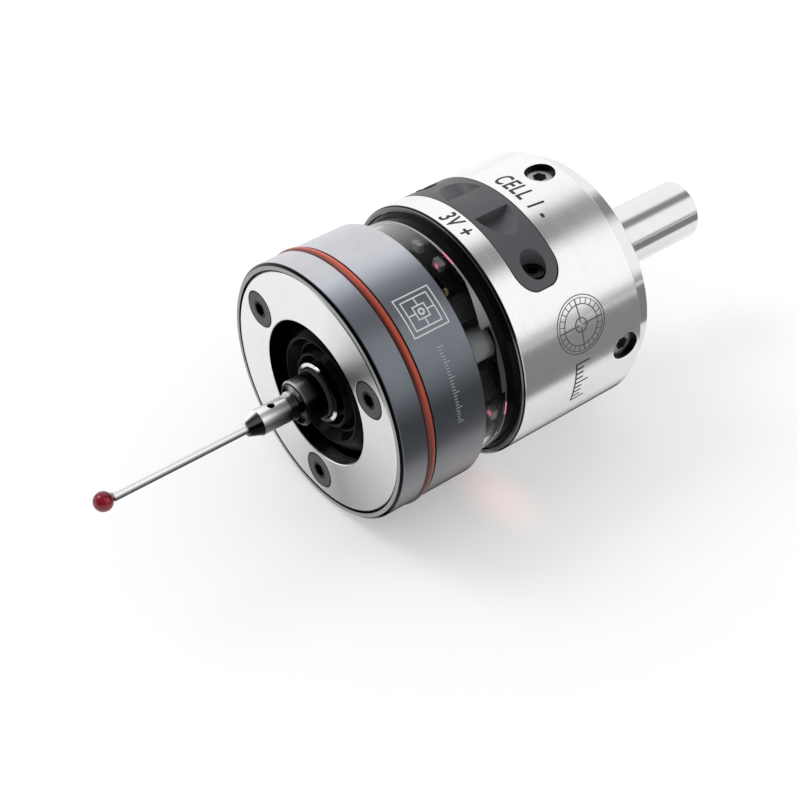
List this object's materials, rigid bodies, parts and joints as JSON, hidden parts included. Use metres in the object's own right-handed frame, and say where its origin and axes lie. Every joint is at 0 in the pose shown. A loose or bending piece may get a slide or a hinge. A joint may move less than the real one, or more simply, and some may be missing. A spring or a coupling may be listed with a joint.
{
  "type": "touch probe",
  "caption": "Compact spindle touch probe with a straight shank, a lit window ring, a battery cover and a ball-tipped stylus that tilts and pushes in.",
  "frame": {"origin": "centre of the shoulder that the shank grows from, on the probe's axis", "axes": "+X along the shank, away from the stylus; +Z towards the battery cover; +Y completes a right-handed frame"},
  "size_m": [0.1143, 0.0424, 0.0424],
  "materials": {
    "front_ring": "blue-grey anodised, satin",
    "face_plate": "pale, polished",
    "face_screws": "grey steel",
    "ring_seal": "orange-red rubber",
    "mechanism_housing": "black anodised",
    "seat_ring": "ground",
    "ball_carrier": "turned",
    "contact_balls": "polished",
    "front_spacers": "turned",
    "rear_spacers": "turned",
    "light_window": "smoked clear plastic",
    "body_gasket": "black rubber",
    "circuit_board": "dark solder mask",
    "status_lights": "small lamps, lit pink",
    "board_components": "chips and coils",
    "rear_body": "bright, finely brushed",
    "battery_tray": "moulded",
    "battery": "nickel-plated can",
    "battery_contact_positive": "spring strip",
    "battery_contact_negative": "spring strip",
    "spring_retainer": "black anodised",
    "return_spring": "spring wire",
    "spring_cap": "turned",
    "pivot_ball": "polished",
    "stylus_hub": "dark turned steel",
    "hub_pins": "ground",
    "dust_diaphragm": "glossy black rubber",
    "diaphragm_clamp": "polished wire",
    "stylus_collar": "polished steel",
    "stylus_stem": "polished steel",
    "ruby_ball": "polished ruby",
    "battery_cover": "charcoal, fine texture",
    "cover_screws": "blackened",
    "cover_seal": "black rubber",
    "shank": "ground and polished",
    "shank_screws": "blackened",
    "centring_screws": "blackened"
  },
  "bodies": {
    "probe": {"front_ring": "front_ring", "face_plate": "face_plate", "face_screws": "face_screws", "ring_seal": "ring_seal", "mechanism_housing": "mechanism_housing", "seat_ring": "seat_ring", "ball_carrier": "ball_carrier", "contact_balls": "contact_balls", "front_spacers": "front_spacers", "rear_spacers": "rear_spacers", "light_window": "light_window", "body_gasket": "body_gasket", "circuit_board": "circuit_board", "status_lights": "status_lights", "board_components": "board_components", "rear_body": "rear_body", "battery_tray": "battery_tray", "battery": "battery", "battery_contact_positive": "battery_contact_positive", "battery_contact_negative": "battery_contact_negative", "spring_retainer": "spring_retainer", "return_spring": "return_spring", "cover_seal": "cover_seal", "shank": "shank", "shank_screws": "shank_screws", "centring_screws": "centring_screws"},
    "push_cap": {"spring_cap": "spring_cap"},
    "tilt_ball": {"pivot_ball": "pivot_ball"},
    "stylus": {"stylus_hub": "stylus_hub", "hub_pins": "hub_pins", "dust_diaphragm": "dust_diaphragm", "diaphragm_clamp": "diaphragm_clamp", "stylus_collar": "stylus_collar", "stylus_stem": "stylus_stem", "ruby_ball": "ruby_ball"},
    "cover": {"battery_cover": "battery_cover", "cover_screws": "cover_screws"}
  },
  "joints": [
    {"name": "stylus_push", "type": "slide", "parent": "probe", "child": "push_cap", "axis": [1, 0, 0], "range_m": [0, 0.0025], "stiffness_N_per_m": 600, "springref_m": -0.003, "deforming": ["return_spring"]},
    {"name": "stylus_tilt_up_down", "type": "hinge", "parent": "push_cap", "child": "tilt_ball", "pos_m": [-0.03486, 0, 0], "axis": [0, 1, 0], "range_deg": [-3.5, 3.5], "stiffness_Nm_per_rad": 0.6},
    {"name": "stylus_tilt_sideways", "type": "hinge", "parent": "tilt_ball", "child": "stylus", "pos_m": [-0.03486, 0, 0], "axis": [0, 0, 1], "range_deg": [-3.5, 3.5], "stiffness_Nm_per_rad": 0.6},
    {"name": "cover_lift", "type": "slide", "parent": "probe", "child": "cover", "axis": [0, 0, 1], "range_m": [0, 0.012]}
  ]
}
